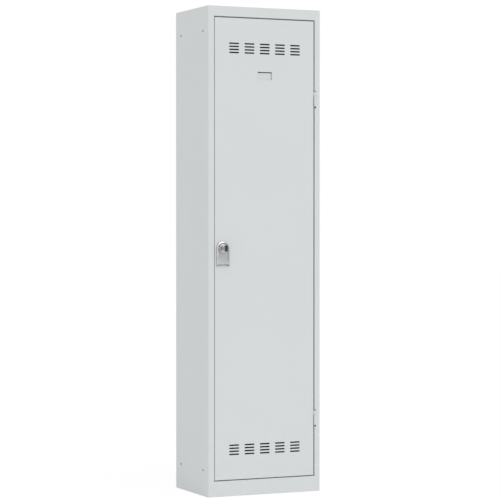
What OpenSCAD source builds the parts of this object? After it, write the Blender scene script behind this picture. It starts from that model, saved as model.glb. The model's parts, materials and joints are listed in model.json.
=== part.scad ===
/* [Cabinet] */
// Overall width of the cabinet
body_w = 455; // [440:5:500]
// Depth of the cabinet, without the lock and its key
body_d = 310; // [300:5:360]
// Overall height of the cabinet
body_h = 1800; // [1750:10:1900]
// Thickness of the steel sheet
sheet_t = 0.8; // [0.7:0.1:1]
// Inside radius of the bends in the sheet
bend_r = 0.8; // [0.6:0.1:1]
// Width of the front stile on the lock side
lock_stile_w = 24; // [22:1:28]
// Width of the front stile on the hinge side
hinge_stile_w = 21.5; // [21:0.5:25]
// Height of the face above the door
header_h = 37.5; // [34:0.5:50]
// Height of the face below the door
sill_h = 57; // [50:1:70]
// Distance from the front face back to the door stops
stop_d = 18; // [18:0.5:20]
// How far the door stops reach into the opening
stop_w = 12; // [10:0.5:14]
// Width of the flanges that hold the back panel
rear_flange_w = 15; // [12:1:20]

/* [Door] */
// Gap between the door and the frame on the lock side
lock_gap = 2; // [2:0.5:3]
// Gap between the door and the frame on the hinge side
hinge_gap = 4.5; // [4.5:0.25:5]
// Gap above the door
top_gap = 4.5; // [3:0.5:6]
// Gap below the door
bottom_gap = 3.5; // [3:0.5:5]
// Depth of the folded door
door_d = 16; // [15:0.5:16]
// Width of the inner lip round the door
door_lip_w = 14; // [10:1:16]
// Width of the stiffener down the middle of the door
stiffener_w = 40; // [30:5:60]
// Depth of the stiffener
stiffener_d = 12; // [8:1:13]

/* [Ventilation] */
// Slots side by side in a group
vent_columns = 5; // [3:1:5]
// Slots above one another in a group
vent_rows = 4; // [2:1:6]
// Length of a slot
vent_w = 40; // [30:1:48]
// Height of a slot
vent_h = 5.4; // [3:0.2:6]
// Distance between slots side by side
vent_pitch_x = 62; // [55:1:65]
// Distance between slots above one another
vent_pitch_z = 11.2; // [9:0.2:14]
// Distance from the door's end to the middle of its group of slots
vent_inset = 110; // [90:5:130]

/* [Card holder] */
// Width of the card window in the door
card_w = 58; // [50:1:80]
// Height of the card window
card_h = 29; // [22:1:36]
// Distance from the door's top down to the window's middle
card_drop = 209.5; // [180:0.5:260]
// How far the card's pocket reaches behind the door on each side of the window
card_border = 5; // [4:0.5:8]
// Depth of the pocket behind the door's sheet
card_pocket_d = 3.2; // [3:0.2:5]
// Height of the slit between the pocket's floor and the window's upper edge
card_slit = 3; // [2:0.5:4]

/* [Hinges] */
// Outside radius of the hinge barrel
hinge_r = 4; // [3.8:0.1:4.2]
// Radius of the hinge pin
pin_r = 2; // [1.6:0.1:2.2]
// Radial running clearance of the pin in the door's knuckle
pin_slip = 0.05; // [0.03:0.01:0.08]
// Length of a hinge barrel
hinge_h = 54; // [48:1:70]
// Length of the door's knuckle at the top of the barrel
door_knuckle_h = 14; // [12:1:24]
// Distance from the front face out to the pin's middle
hinge_proud = 2; // [1.8:0.1:2.2]
// Thickness of the hinge leaves
leaf_t = 2; // [1.8:0.1:2.2]
// Distance from the door's top down to the upper hinge's middle
upper_hinge_inset = 290.5; // [200:0.5:400]
// Distance from the door's bottom up to the lower hinge's middle
lower_hinge_inset = 215; // [160:0.5:400]

/* [Lock] */
// Height of the lock's middle above the floor
lock_z = 912; // [850:1:1000]
// Distance from the door's edge to the lock's middle
lock_inset = 31.5; // [29:0.5:34]
// Half of the pull's width, and the radius of its top
pull_r = 26; // [25:0.5:28]
// Length of the pull below the lock's middle
pull_drop = 65; // [56:1:70]
// Height of the bevel below the pull's lip
pull_foot = 6; // [4:0.5:8]
// How far the pull stands out from the door
pull_proud = 8; // [7:0.5:9]
// Radius of the dish in the pull
dish_r = 20; // [19:0.5:21]
// Radius of the lock's front flange
lock_face_r = 16.5; // [15:0.5:17.5]
// Radius of the lock's threaded body
lock_body_r = 11; // [10:0.5:11.5]
// Distance across the flats of the lock's body
lock_flats = 19; // [18:0.5:20]
// Radius of the turning plug
plug_r = 7.5; // [7:0.5:8]
// Radial running clearance of the plug
plug_slip = 0.06; // [0.03:0.01:0.08]
// Reach of the cam from the lock's middle
cam_reach = 30; // [26:1:32]
// Width of the cam
cam_w = 14; // [12:1:16]

/* [Key] */
// Height of the key's plastic head
key_head_h = 22; // [20:1:28]
// Distance from the door's face to the near end of the key's head
key_head_start = 20; // [18:1:28]
// Distance from the door's face to the far end of the key's head
key_head_end = 41; // [39:1:52]
// Thickness of the key's head
key_head_t = 4.5; // [4:0.5:7]

/* [Side fixings] */
// Radius of the holes for joining cabinets side by side
join_hole_r = 4; // [2.5:0.25:4.25]
// Distance between the joining holes, front to back
join_pitch_y = 210; // [180:5:230]
// Height of the lower joining holes
join_low_z = 95; // [80:5:120]
// Distance from the cabinet's top down to the upper joining holes
join_high_inset = 90; // [60:5:120]

/* [Shelf and rail] */
// Distance from the cabinet's top down to the shelf
shelf_drop = 316; // [280:1:400]
// Depth of the shelf's folded edges
shelf_d = 25; // [20:1:30]
// Distance from the shelf's rivets up to the shelf's top
shelf_rise = 12; // [8:1:15]
// Distance between the shelf's rivets, front to back
shelf_rivet_pitch = 117; // [100:1:140]
// Distance from the front face back to the shelf
shelf_setback = 37; // [30:1:50]
// Radius of the rivets' shanks
rivet_r = 2.4; // [2:0.1:3]
// Radius of the coat rail
rail_r = 9; // [8:0.5:10]
// Wall of the coat rail
rail_wall = 1.2; // [1:0.1:2]
// Distance from the shelf's rivets down to the rail's middle
rail_drop = 47; // [40:1:60]
// Thickness of a coat hook
hook_t = 6; // [5:0.5:8]
// Distance between the coat hooks at rest
hook_pitch = 140; // [100:10:200]

/* [Hidden] */
$fn = 64;

// Distance by which cutting solids run past what they cut
past = 1;
// Slack between sheets that are slid into one another
slack = 0.2;
// Slack where two folded sheets meet corner to corner
seam = 0.1;
// Thickness of the side panel and the shelf's edge that a rivet holds together
rivet_grip = 2 * sheet_t + slack;

half_w = body_w / 2;
front_y = -body_d / 2;
rear_y = body_d / 2;
bend_mid_r = bend_r + sheet_t / 2;
bend_out_r = bend_r + sheet_t;

opening_x0 = -half_w + lock_stile_w;
opening_x1 = half_w - hinge_stile_w;
opening_z0 = sill_h;
opening_z1 = body_h - header_h;
stop_y = front_y + stop_d;
stop_rear_y = stop_y + sheet_t;

inside_x = half_w - sheet_t;
tray_x = inside_x - slack;
face_x0 = opening_x0 - bend_out_r + seam;
face_x1 = opening_x1 + bend_out_r - seam;
lap_w = 24;
tray_y0 = stop_rear_y + seam;
back_y = rear_y - 2 * sheet_t;
floor_rise = 11;
floor_z = opening_z0 + floor_rise;
roof_flange_h = 30;
floor_lip_w = 15;

door_x0 = opening_x0 + lock_gap;
door_x1 = opening_x1 - hinge_gap;
door_z0 = opening_z0 + bottom_gap;
door_z1 = opening_z1 - top_gap;
door_w = door_x1 - door_x0;
door_h = door_z1 - door_z0;
door_mid_x = (door_x0 + door_x1) / 2;
door_inner_y = front_y + sheet_t;
card_z = door_z1 - card_drop;
card_corner_r = 1.5;
card_floor_z = card_z - card_h / 2 - sheet_t;
card_brim = 8;
stiffener_brim = 12;
stiffener_z0 = door_z0 + vent_inset + vent_rows * vent_pitch_z;
stiffener_z1 = card_floor_z - stiffener_brim;

barrel_gap = 1;
hinge_x = door_x1 + barrel_gap + hinge_r;
hinge_y = front_y - hinge_proud;
upper_hinge_z = door_z1 - upper_hinge_inset;
lower_hinge_z = door_z0 + lower_hinge_inset;
hinge_zs = [upper_hinge_z, lower_hinge_z];
knuckle_gap = 0.4;
frame_knuckle_h = hinge_h - door_knuckle_h - knuckle_gap;
notch_above = 3;
notch_below = 6;
door_leaf_h = 42;
door_leaf_inset = 2;
frame_leaf_root = 1;
frame_leaf_inset = 1;
pin_recess = 1;

lock_x = door_x0 + lock_inset;
dish_floor = 4.5;
pull_edge = 5;
foot_edge = 1.5;
pull_bevel = 4.5;
pull_wall = 2;
pull_lip = 2;
sweep_start = 23;
lip_end = pull_drop - pull_foot;
sweep_end = lip_end - pull_lip;
sweep_d = sweep_end - sweep_start;
sweep_rise = pull_proud - dish_floor;
sweep_r = (sweep_d * sweep_d + sweep_rise * sweep_rise) / (2 * sweep_rise);
pocket_half_w = 19;
pocket_start = 27;
pocket_top = pull_proud - pull_wall;
lock_face_t = 3;
lock_face_z = dish_floor + lock_face_t;
lock_slip = 0.1;
lock_back_z = -stop_d;
cam_t = 2;
cam_slip = 0.7;
cam_front_z = lock_back_z - sheet_t - cam_slip;
cam_back_z = cam_front_z - cam_t;
cam_hub_r = 9;
tang_r = 5;
tang_flats = 7;
nut_across = 27;
nut_t = 4;
screw_r = 2;
screw_head_r = 3.6;
screw_head_t = 2.6;
screw_drop = 21;
screw_tip_z = 3.5;
cam_screw_tip_z = -14;
cam_screw_across = 8;
cam_screw_head_t = 2.2;
washer_r = 6.5;
washer_t = 0.8;
keyway_w = 2.4;
keyway_h = 8.6;
keyway_end_z = -11;
blade_t = 2;
blade_h = 8;
blade_tip_z = -10;
blade_shoulder_h = 10;
bitting = [1.2, 2.2, 1.6, 2.6, 1.4];
bitting_pitch = 3;
bitting_start = 2.1;
key_notch_d = 6;
key_notch_slip = 1;
key_corner_r = 5;
key_hole_inset = 6;
key_hole_r = 2.5;

shelf_top_z = body_h - shelf_drop;
shelf_rivet_z = shelf_top_z - shelf_rise;
shelf_front_y = front_y + shelf_setback;
shelf_rear_y = back_y;
shelf_rivet_mid_y = -2.5;
shelf_rivet_ys = [shelf_rivet_mid_y - shelf_rivet_pitch / 2, shelf_rivet_mid_y + shelf_rivet_pitch / 2];
rivet_head_r = 3.6;
rivet_head_t = 0.8;
rivet_tail_r = 3.2;
rivet_tail_t = 1.4;
rail_y = 10;
rail_z = shelf_rivet_z - rail_drop;
bracket_t = 2;
bracket_w = 30;
bracket_inset = 26;
bracket_x = inside_x - bracket_inset;
bracket_foot = 22;
bracket_below = 8;
rail_end = 6;
hook_eye_slip = 0.3;
hook_eye_wall = 4;
hook_bar = 5;
hook_neck = 30;
hook_curve_r = 9;
hook_tip = 8;
hook_ball_r = 3.4;

buffer_r = 4;
buffer_t = 1.6;
buffer_inset = 120;
buffer_mid_z = (opening_z0 + opening_z1) / 2 + buffer_inset;
buffer_zs = [opening_z0 + buffer_inset, buffer_mid_z, opening_z1 - buffer_inset];

paint = "#d6d9d9";
shade = "#c9cdcf";
zinc = "#b4b6b8";
steel = "#c8cacc";
rubber = "#2b2c2e";

// Extrusions of a flat outline along each axis
module along_x(x0, x1) {
    translate([x0, 0, 0]) rotate([90, 0, 90]) linear_extrude(x1 - x0) children();
}

module along_y(y0, y1) {
    translate([0, y1, 0]) rotate([90, 0, 0]) linear_extrude(y1 - y0) children();
}

module along_z(z0, z1) {
    translate([0, 0, z0]) linear_extrude(z1 - z0) children();
}

// Box between two opposite corners
module block(low, high) {
    translate(low) cube(high - low);
}

// Section of a folded sheet along its middle line, whose bends are square
module fold(path, t = sheet_t, r = bend_mid_r) {
    last = len(path) - 1;
    for (i = [0 : last - 1]) {
        along = (path[i + 1] - path[i]) / norm(path[i + 1] - path[i]);
        start = path[i] + along * (i == 0 ? 0 : r);
        end = path[i + 1] - along * (i == last - 1 ? 0 : r);
        half = [abs(along[1]), abs(along[0])] * t / 2;
        low = [min(start[0], end[0]), min(start[1], end[1])] - half;
        high = [max(start[0], end[0]), max(start[1], end[1])] + half;
        translate(low) square(high - low);
    }
    for (i = [1 : last - 1]) {
        into = (path[i] - path[i - 1]) / norm(path[i] - path[i - 1]);
        out = (path[i + 1] - path[i]) / norm(path[i + 1] - path[i]);
        corner = (into - out) * (r + t);
        translate(path[i] - into * r + out * r) intersection() {
            difference() {
                circle(r + t / 2);
                circle(r - t / 2);
            }
            translate([min(0, corner[0]), min(0, corner[1])])
                square([abs(corner[0]), abs(corner[1])]);
        }
    }
}

module round_rect(size, r) {
    translate([r, 0]) square([size[0] - 2 * r, size[1]]);
    translate([0, r]) square([size[0], size[1] - 2 * r]);
    for (x = [r, size[0] - r], y = [r, size[1] - r])
        translate([x, y]) circle(r);
}

// Block whose long edges at its face and at its back are rounded like bends
module bent_block(size, r) {
    intersection() {
        along_x(0, size[0]) round_rect([size[1], size[2]], r);
        along_y(0, size[1]) round_rect([size[0], size[2]], r);
    }
}

// Folded pan with its face at z = 0; lip is the width of its inner lips, or 0 for none
module pan(size, lip) {
    deeper = lip > 0 ? 0 : 2 * bend_out_r;
    difference() {
        bent_block(size + [0, 0, deeper], bend_out_r);
        translate([sheet_t, sheet_t, sheet_t])
            bent_block(size - [2, 2, 2] * sheet_t + [0, 0, 2 * deeper], bend_r);
        if (lip > 0)
            block([lip, lip, size[2] / 2], [size[0] - lip, size[1] - lip, size[2] + past]);
        else
            block([-past, -past, size[2]], [size[0] + past, size[1] + past, size[2] + 3 * deeper]);
    }
}

// Plan of a side panel on the left: rear flange, wall, front stile, jamb and door stop
module side_section(stile_w) {
    mid = sheet_t / 2;
    fold([
        [-half_w + rear_flange_w, rear_y - mid],
        [-half_w + mid, rear_y - mid],
        [-half_w + mid, front_y + mid],
        [-half_w + stile_w - mid, front_y + mid],
        [-half_w + stile_w - mid, stop_y + mid],
        [-half_w + stile_w + stop_w, stop_y + mid]
    ]);
}

module side_panel(stile_w) {
    difference() {
        along_z(0, body_h) side_section(stile_w);
        block([-inside_x, door_inner_y, body_h - sheet_t - seam],
            [0, tray_y0, body_h + past]);
        for (z = [[-past, opening_z0 + seam], [opening_z1 - seam, body_h + past]])
            block([-half_w + stile_w - bend_out_r, front_y - past, z[0]],
                [-half_w + stile_w + stop_w + past, tray_y0, z[1]]);
        for (y = [-1, 1] * join_pitch_y / 2, z = [join_low_z, body_h - join_high_inset])
            translate([-half_w - past, y, z]) rotate([0, 90, 0])
                cylinder(h = sheet_t + 2 * past, r = join_hole_r);
        for (y = shelf_rivet_ys) side_rivet_hole(y);
    }
}

module side_rivet_hole(y) {
    translate([-half_w - past, y, shelf_rivet_z]) rotate([0, 90, 0])
        cylinder(h = rivet_grip + 2 * past, r = rivet_r);
}

module left_side_panel() {
    color(shade) side_panel(lock_stile_w);
}

module right_side_panel() {
    color(shade) difference() {
        mirror([1, 0, 0]) side_panel(hinge_stile_w);
        for (z = hinge_zs)
            block([opening_x1 - bend_out_r, front_y - past, z - hinge_h / 2 - notch_below],
                [hinge_x + hinge_r + barrel_gap, door_inner_y + leaf_t + seam,
                    z + hinge_h / 2 + notch_above]);
    }
}

module back_panel() {
    edge = inside_x - bend_out_r;
    color(shade) block([-edge, back_y, 0], [edge, back_y + sheet_t, body_h - sheet_t]);
}

module roof_tray() {
    size = [2 * tray_x, back_y - tray_y0, roof_flange_h];
    color(paint) translate([-tray_x, back_y, body_h]) rotate([180, 0, 0]) pan(size, 0);
}

// Face above the door, with the upper door stop, tabs that close the tops of the stiles and
// plates behind the seams
module header_panel() {
    mid = sheet_t / 2;
    color(paint) {
        difference() {
            along_x(face_x0, face_x1) fold([
                [stop_y + mid, opening_z1 - stop_w],
                [stop_y + mid, opening_z1 + mid],
                [front_y + mid, opening_z1 + mid],
                [front_y + mid, body_h - mid],
                [tray_y0, body_h - mid]
            ]);
            for (side = [-1, 1]) stop_relief(side);
        }
        for (side = [-1, 1]) {
            stile_tab(side);
            seam_lap(side, opening_z1 + bend_out_r, body_h - bend_out_r);
        }
    }
}

// Room for a side panel's door stop at one end of the header
module stop_relief(side) {
    stop_end = side < 0 ? opening_x0 + stop_w + slack : opening_x1 - stop_w - slack;
    block([min(stop_end, side * half_w), stop_y - seam, opening_z1 - stop_w - past],
        [max(stop_end, side * half_w), tray_y0 + past, opening_z1 + bend_out_r]);
}

module stile_tab(side) {
    face_end = side < 0 ? face_x0 : face_x1;
    block([min(face_end, side * tray_x), door_inner_y + slack, body_h - sheet_t],
        [max(face_end, side * tray_x), tray_y0, body_h]);
}

// Plate behind the seam where the header or the sill meets a stile
module seam_lap(side, z0, z1) {
    face_end = side < 0 ? face_x0 : face_x1;
    block([face_end - lap_w / 2, door_inner_y, z0], [face_end + lap_w / 2, door_inner_y + sheet_t, z1]);
}

module floor_tray() {
    size = [2 * tray_x, back_y - tray_y0, floor_z];
    color(paint) translate([-tray_x, back_y, floor_z]) rotate([180, 0, 0]) pan(size, floor_lip_w);
}

module sill_panel() {
    mid = sheet_t / 2;
    color(paint) {
        along_x(face_x0, face_x1) fold([
            [tray_y0, mid],
            [front_y + mid, mid],
            [front_y + mid, sill_h - mid],
            [tray_y0, sill_h - mid]
        ]);
        for (side = [-1, 1]) seam_lap(side, bend_out_r, sill_h - bend_out_r);
    }
}

module hat_shelf() {
    size = [2 * tray_x, shelf_rear_y - shelf_front_y, shelf_d];
    color(paint) difference() {
        translate([-tray_x, shelf_rear_y, shelf_top_z]) rotate([180, 0, 0]) pan(size, 0);
        for (side = [0, 1], y = shelf_rivet_ys)
            mirror([side, 0, 0]) side_rivet_hole(y);
    }
}

// Rivets through the side panels and the shelf's edges
module shelf_rivets() {
    color(shade)
        for (side = [0, 1], y = shelf_rivet_ys)
            mirror([side, 0, 0]) translate([-half_w, y, shelf_rivet_z]) rotate([0, 90, 0]) {
                translate([0, 0, -rivet_head_t]) cylinder(h = rivet_head_t, r = rivet_head_r);
                translate([0, 0, -rivet_head_t])
                    cylinder(h = rivet_head_t + rivet_grip + rivet_tail_t, r = rivet_r);
                translate([0, 0, rivet_grip]) cylinder(h = rivet_tail_t, r = rivet_tail_r);
            }
}

module rail_brackets() {
    top = shelf_top_z - sheet_t - bracket_t / 2;
    color(paint) for (side = [0, 1]) mirror([side, 0, 0]) difference() {
        along_y(rail_y - bracket_w / 2, rail_y + bracket_w / 2)
            fold([
                [-bracket_x + bracket_foot, top],
                [-bracket_x, top],
                [-bracket_x, rail_z - rail_r - bracket_below]
            ], bracket_t, bracket_t);
        translate([-half_w, rail_y, rail_z]) rotate([0, 90, 0]) cylinder(h = half_w, r = rail_r);
    }
}

module coat_rail() {
    half = bracket_x + rail_end;
    color(steel) translate([-half, rail_y, rail_z]) rotate([0, 90, 0]) difference() {
        cylinder(h = 2 * half, r = rail_r);
        translate([0, 0, -past]) cylinder(h = 2 * (half + past), r = rail_r - rail_wall);
    }
}

// Side view of a coat hook about the middle of its eye, drawn in y and z
module hook_outline() {
    eye_r = rail_r + hook_eye_slip;
    curve_y = -hook_curve_r - hook_bar / 2;
    curve_z = -rail_r - hook_neck;
    difference() {
        union() {
            circle(eye_r + hook_eye_wall);
            translate([-hook_bar / 2, curve_z]) square([hook_bar, hook_neck]);
        }
        circle(eye_r);
    }
    translate([curve_y, curve_z]) {
        intersection() {
            difference() {
                circle(hook_curve_r + hook_bar);
                circle(hook_curve_r);
            }
            translate([-2 * hook_curve_r, -2 * hook_curve_r]) square([4 * hook_curve_r, 2 * hook_curve_r]);
        }
        translate([-hook_curve_r - hook_bar, 0]) square([hook_bar, hook_tip]);
        translate([-hook_curve_r - hook_bar / 2, hook_tip]) circle(hook_ball_r);
    }
}

module coat_hook(x) {
    color(steel) translate([0, rail_y, rail_z]) along_x(x - hook_t / 2, x + hook_t / 2) hook_outline();
}

module coat_hook_left() {
    coat_hook(-hook_pitch / 2);
}

module coat_hook_right() {
    coat_hook(hook_pitch / 2);
}

module door_buffers() {
    color(rubber) for (z = buffer_zs)
        translate([opening_x0 + stop_w / 2, stop_y, z]) rotate([90, 0, 0])
            cylinder(h = buffer_t, r = buffer_r);
}

// Hinge whose barrel's middle is at height z
module frame_leaf(z) {
    z0 = z - hinge_h / 2;
    color(paint) difference() {
        union() {
            translate([hinge_x, hinge_y, z0]) cylinder(h = frame_knuckle_h, r = hinge_r);
            block([hinge_x - frame_leaf_root, door_inner_y, z0],
                [inside_x - bend_out_r - frame_leaf_inset, door_inner_y + leaf_t, z0 + frame_knuckle_h]);
        }
        translate([hinge_x, hinge_y, z0 - past]) cylinder(h = hinge_h, r = pin_r);
    }
}

module door_leaf(z) {
    z1 = z + hinge_h / 2;
    knuckle_z = z1 - door_knuckle_h;
    leaf_rear_y = front_y + door_d - door_leaf_inset;
    leaf_clear_y = hinge_y + hinge_r + barrel_gap;
    color(paint) difference() {
        union() {
            translate([hinge_x, hinge_y, knuckle_z]) cylinder(h = door_knuckle_h, r = hinge_r);
            block([door_x1, hinge_y, knuckle_z], [door_x1 + leaf_t, leaf_rear_y, z1]);
            block([door_x1, leaf_clear_y, z1 - door_leaf_h], [door_x1 + leaf_t, leaf_rear_y, z1]);
        }
        translate([hinge_x, hinge_y, knuckle_z - past])
            cylinder(h = hinge_h, r = pin_r + pin_slip);
    }
}

module hinge_pin(z) {
    color(steel) translate([hinge_x, hinge_y, z - hinge_h / 2])
        cylinder(h = hinge_h - pin_recess, r = pin_r);
}

module upper_hinge_frame_leaf() {
    frame_leaf(upper_hinge_z);
}

module upper_hinge_door_leaf() {
    door_leaf(upper_hinge_z);
}

module upper_hinge_pin() {
    hinge_pin(upper_hinge_z);
}

module lower_hinge_frame_leaf() {
    frame_leaf(lower_hinge_z);
}

module lower_hinge_door_leaf() {
    door_leaf(lower_hinge_z);
}

module lower_hinge_pin() {
    hinge_pin(lower_hinge_z);
}

// Outline of one ventilation slot about its middle
module slot_outline() {
    straight = vent_w - vent_h;
    translate([-straight / 2, -vent_h / 2]) square([straight, vent_h]);
    for (side = [-1, 1]) translate([side * straight / 2, 0]) circle(vent_h / 2);
}

// One group of slots about its middle
module vent_group() {
    for (column = [0 : vent_columns - 1], row = [0 : vent_rows - 1])
        translate([
            (column - (vent_columns - 1) / 2) * vent_pitch_x,
            (row - (vent_rows - 1) / 2) * vent_pitch_z
        ]) slot_outline();
}

// Round outline with two flats, for the lock's body and the holes that keep it from turning
module flatted_circle(r, flats) {
    intersection() {
        circle(r);
        translate([-flats / 2, -r]) square([flats, 2 * r]);
    }
}

// Places a solid on the lock's middle, with its z running out of the door's face
module at_lock() {
    translate([lock_x, front_y, lock_z]) rotate([90, 0, 0]) children();
}

module door_panel() {
    color(paint) difference() {
        translate([door_x0, front_y, door_z1]) rotate([-90, 0, 0])
            pan([door_w, door_h, door_d], door_lip_w);
        along_y(front_y - past, door_inner_y + past)
            for (z = [door_z0 + vent_inset, door_z1 - vent_inset])
                translate([door_mid_x, z]) vent_group();
        along_y(front_y - past, door_inner_y + past)
            translate([door_mid_x - card_w / 2, card_z - card_h / 2])
                round_rect([card_w, card_h], card_corner_r);
        at_lock() translate([0, 0, -sheet_t - past]) linear_extrude(sheet_t + 2 * past)
            flatted_circle(lock_body_r + lock_slip, lock_flats + 2 * lock_slip);
        at_lock() translate([0, -screw_drop, -sheet_t - past])
            cylinder(h = sheet_t + 2 * past, r = screw_r + lock_slip);
    }
}

// Hat section on the back of the door's face, seen from above
module hat_section(half, depth, brim) {
    mid = door_inner_y + sheet_t / 2;
    fold([
        [door_mid_x - half - brim, mid],
        [door_mid_x - half, mid],
        [door_mid_x - half, mid + depth],
        [door_mid_x + half, mid + depth],
        [door_mid_x + half, mid],
        [door_mid_x + half + brim, mid]
    ]);
}

module door_stiffener() {
    color(paint) along_z(stiffener_z0, stiffener_z1)
        hat_section(stiffener_w / 2, stiffener_d - sheet_t, stiffener_brim);
}

// Pocket behind the card window, with a slit above its floor
module card_holder() {
    half = card_w / 2 + card_border;
    color(paint) {
        along_z(card_floor_z, card_z + card_h / 2 - card_slit)
            hat_section(half, card_pocket_d, card_brim);
        block([door_mid_x - half + sheet_t / 2, door_inner_y, card_floor_z],
            [door_mid_x + half - sheet_t / 2, door_inner_y + card_pocket_d, card_floor_z + sheet_t]);
    }
}

// Half section of the pull, from its middle out to its bevelled edge
module pull_section() {
    polygon([
        [0, 0],
        [pull_r, 0],
        [pull_r, pull_edge],
        [pull_r - pull_bevel, pull_proud],
        [0, pull_proud]
    ]);
}

// Outline with a round top and straight sides that run down past the pull's end
module dish_outline() {
    circle(dish_r);
    translate([-dish_r, -pull_drop - past]) square([2 * dish_r, pull_drop + past]);
}

// Side view of the space in front of the dish's floor, drawn in y and z
module dish_air() {
    translate([-sweep_start, dish_floor]) square([2 * pull_r, pull_proud]);
    translate([-sweep_start, dish_floor + sweep_r]) circle(sweep_r, $fn = 360);
}

// Side view of the space in front of the bevel below the lip, drawn in y and z
module foot_air() {
    polygon([
        [-lip_end, pull_proud],
        [-pull_drop, foot_edge],
        [-2 * pull_drop, foot_edge],
        [-2 * pull_drop, 2 * pull_proud],
        [-lip_end, 2 * pull_proud]
    ]);
}

// Pull with a dished front whose floor sweeps out to a lip, and a finger pocket behind the lip
module lock_pull() {
    color(zinc) at_lock() difference() {
        union() {
            rotate_extrude(angle = 180) pull_section();
            rotate([90, 0, 0]) linear_extrude(pull_drop) {
                pull_section();
                mirror([1, 0]) pull_section();
            }
        }
        intersection() {
            translate([0, 0, dish_floor]) linear_extrude(pull_proud) dish_outline();
            along_x(-pull_r, pull_r) dish_air();
        }
        along_x(-pull_r - past, pull_r + past) foot_air();
        difference() {
            block([-pocket_half_w, -pull_drop - past, -past], [pocket_half_w, -pocket_start, pocket_top]);
            along_x(-pull_r, pull_r) translate([-sweep_start, dish_floor + sweep_r])
                circle(sweep_r + pull_wall, $fn = 360);
        }
        translate([0, 0, -past]) cylinder(h = pull_proud, r = lock_body_r + lock_slip);
        translate([0, -screw_drop, -past]) cylinder(h = screw_tip_z + past, r = screw_r);
    }
}

// Fixed body of the cam lock, with its bevelled front flange
module lock_barrel() {
    bevel = 1.2;
    color(zinc) at_lock() difference() {
        union() {
            rotate_extrude() polygon([
                [0, dish_floor],
                [lock_face_r, dish_floor],
                [lock_face_r, lock_face_z - bevel],
                [lock_face_r - bevel, lock_face_z],
                [0, lock_face_z]
            ]);
            translate([0, 0, lock_back_z]) linear_extrude(dish_floor - lock_back_z)
                flatted_circle(lock_body_r, lock_flats);
        }
        translate([0, 0, lock_back_z - past])
            cylinder(h = lock_face_z - lock_back_z + 2 * past, r = plug_r + plug_slip);
    }
}

module lock_nut() {
    color(steel) at_lock() translate([0, 0, -sheet_t - nut_t]) difference() {
        cylinder(h = nut_t, r = nut_across / sqrt(3), $fn = 6);
        translate([0, 0, -past]) cylinder(h = nut_t + 2 * past, r = lock_body_r + lock_slip);
    }
}

// Screw from inside the door into the pull
module pull_screw() {
    color(steel) at_lock() translate([0, -screw_drop, 0]) {
        translate([0, 0, -sheet_t - screw_head_t]) cylinder(h = screw_head_t, r = screw_head_r);
        translate([0, 0, -sheet_t - screw_head_t])
            cylinder(h = sheet_t + screw_head_t + screw_tip_z, r = screw_r);
    }
}

// Turning plug with the keyway in its face and a flatted tang for the cam
module lock_plug() {
    color(steel) at_lock() difference() {
        union() {
            translate([0, 0, cam_front_z]) cylinder(h = lock_face_z - cam_front_z, r = plug_r);
            translate([0, 0, cam_back_z]) linear_extrude(cam_t) flatted_circle(tang_r, tang_flats);
        }
        block([-keyway_w / 2, -keyway_h / 2, keyway_end_z],
            [keyway_w / 2, keyway_h / 2, lock_face_z + past]);
        translate([0, 0, cam_back_z - past])
            cylinder(h = cam_screw_tip_z - cam_back_z + past, r = screw_r);
    }
}

// Side view of the blade, drawn in y and z, with its cuts on the lower edge
module blade_outline() {
    shoulder_z = lock_face_z + seam;
    difference() {
        union() {
            translate([-blade_h / 2, blade_tip_z]) square([blade_h, shoulder_z - blade_tip_z]);
            translate([-blade_shoulder_h / 2, shoulder_z])
                square([blade_shoulder_h, key_head_start + key_notch_d - shoulder_z]);
        }
        for (i = [0 : len(bitting) - 1])
            translate([-blade_h / 2, blade_tip_z + bitting_start + bitting_pitch * i])
                polygon([[-past, -bitting[i] - past], [bitting[i], 0], [-past, bitting[i] + past]]);
    }
}

module key_blade() {
    color(steel) at_lock() along_x(-blade_t / 2, blade_t / 2) blade_outline();
}

// Key's plastic head, drawn in y and z, with a notch for the blade and a hole for a key ring
module key_head_outline() {
    notch = blade_shoulder_h / 2 + key_notch_slip;
    difference() {
        translate([-key_head_h / 2, key_head_start])
            round_rect([key_head_h, key_head_end - key_head_start], key_corner_r);
        translate([-notch, key_head_start - past]) square([2 * notch, key_notch_d + past]);
        translate([0, key_head_end - key_hole_inset]) circle(key_hole_r);
    }
}

module key_head() {
    color(rubber) at_lock() along_x(-key_head_t / 2, key_head_t / 2) key_head_outline();
}

// Cam that points down when the lock is open and reaches behind the door stop when it is shut
module lock_cam() {
    color(steel) at_lock() translate([0, 0, cam_back_z]) linear_extrude(cam_t) difference() {
        union() {
            circle(cam_hub_r);
            translate([-cam_w / 2, -cam_reach]) square([cam_w, cam_reach]);
        }
        flatted_circle(tang_r, tang_flats);
    }
}

// Screw and washer that hold the cam on the plug
module cam_screw() {
    head_z = cam_back_z - washer_t - cam_screw_head_t;
    color(steel) at_lock() {
        translate([0, 0, cam_back_z - washer_t]) cylinder(h = washer_t, r = washer_r);
        translate([0, 0, head_z]) cylinder(h = cam_screw_head_t, r = cam_screw_across / sqrt(3), $fn = 6);
        translate([0, 0, head_z]) cylinder(h = cam_screw_tip_z - head_z, r = screw_r);
    }
}

left_side_panel();
right_side_panel();
back_panel();
roof_tray();
header_panel();
floor_tray();
sill_panel();
hat_shelf();
shelf_rivets();
rail_brackets();
coat_rail();
coat_hook_left();
coat_hook_right();
door_buffers();
upper_hinge_frame_leaf();
upper_hinge_door_leaf();
upper_hinge_pin();
lower_hinge_frame_leaf();
lower_hinge_door_leaf();
lower_hinge_pin();
door_panel();
door_stiffener();
card_holder();
lock_pull();
lock_barrel();
lock_nut();
pull_screw();
lock_plug();
key_blade();
key_head();
lock_cam();
cam_screw();
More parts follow.
